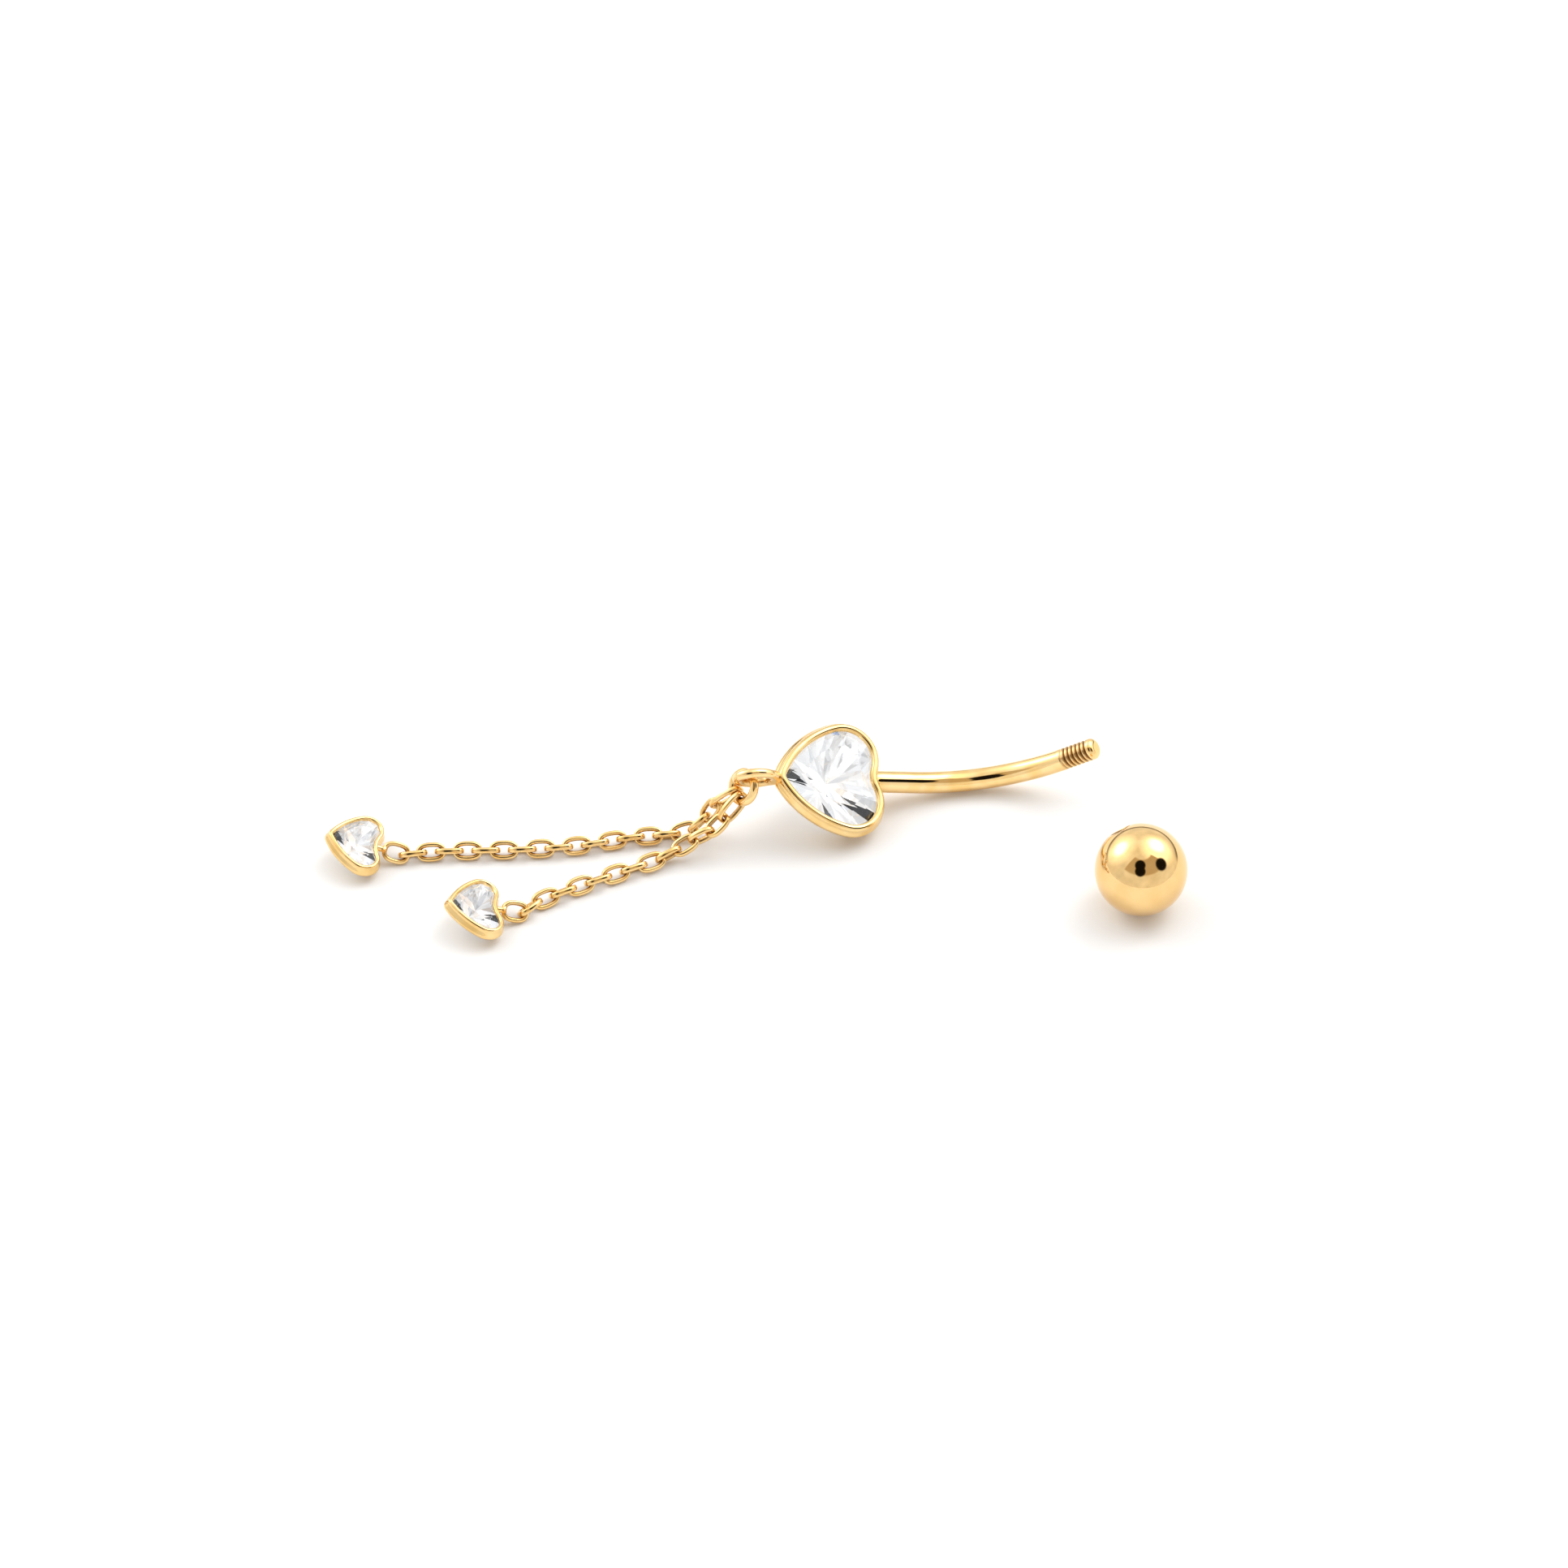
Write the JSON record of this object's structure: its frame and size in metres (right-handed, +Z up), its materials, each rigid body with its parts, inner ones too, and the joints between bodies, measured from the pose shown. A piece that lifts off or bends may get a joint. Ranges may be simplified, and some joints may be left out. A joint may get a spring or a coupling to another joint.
{
  "type": "navel ring",
  "caption": "Curved screw-end navel barbell with a bezel-set heart stone, two cable chains ending in small heart drops, and its ball lying unscrewed beside it.",
  "frame": {"origin": "middle of the underside of the whole jewel as it lies on a table", "axes": "+X from the drops towards the ball, +Y away from the viewer, +Z up from the table"},
  "size_m": [0.0464, 0.0134, 0.005],
  "materials": {
    "yellow_gold": "polished yellow gold alloy",
    "clear_crystal": "faceted colourless cubic zirconia"
  },
  "bodies": {
    "root": {"barbell": "yellow_gold", "jump_ring": "yellow_gold", "long_chain_link_01": "yellow_gold", "long_chain_link_02": "yellow_gold", "long_chain_link_03": "yellow_gold", "long_chain_link_04": "yellow_gold", "long_chain_link_05": "yellow_gold", "long_chain_link_06": "yellow_gold", "long_chain_link_07": "yellow_gold", "long_chain_link_08": "yellow_gold", "long_chain_link_09": "yellow_gold", "long_chain_link_10": "yellow_gold", "long_chain_link_11": "yellow_gold", "long_chain_link_12": "yellow_gold", "long_chain_link_13": "yellow_gold", "long_chain_link_14": "yellow_gold", "long_chain_link_15": "yellow_gold", "long_chain_link_16": "yellow_gold", "long_chain_link_17": "yellow_gold", "long_chain_link_18": "yellow_gold", "long_chain_link_19": "yellow_gold", "short_chain_link_01": "yellow_gold", "short_chain_link_02": "yellow_gold", "short_chain_link_03": "yellow_gold", "short_chain_link_04": "yellow_gold", "short_chain_link_05": "yellow_gold", "short_chain_link_06": "yellow_gold", "short_chain_link_07": "yellow_gold", "short_chain_link_08": "yellow_gold", "short_chain_link_09": "yellow_gold", "short_chain_link_10": "yellow_gold", "short_chain_link_11": "yellow_gold", "short_chain_link_12": "yellow_gold", "short_chain_link_13": "yellow_gold", "long_drop_setting": "yellow_gold", "short_drop_setting": "yellow_gold", "ball": "yellow_gold", "heart_stone": "clear_crystal", "long_drop_stone": "clear_crystal", "short_drop_stone": "clear_crystal"}
  },
  "joints": []
}
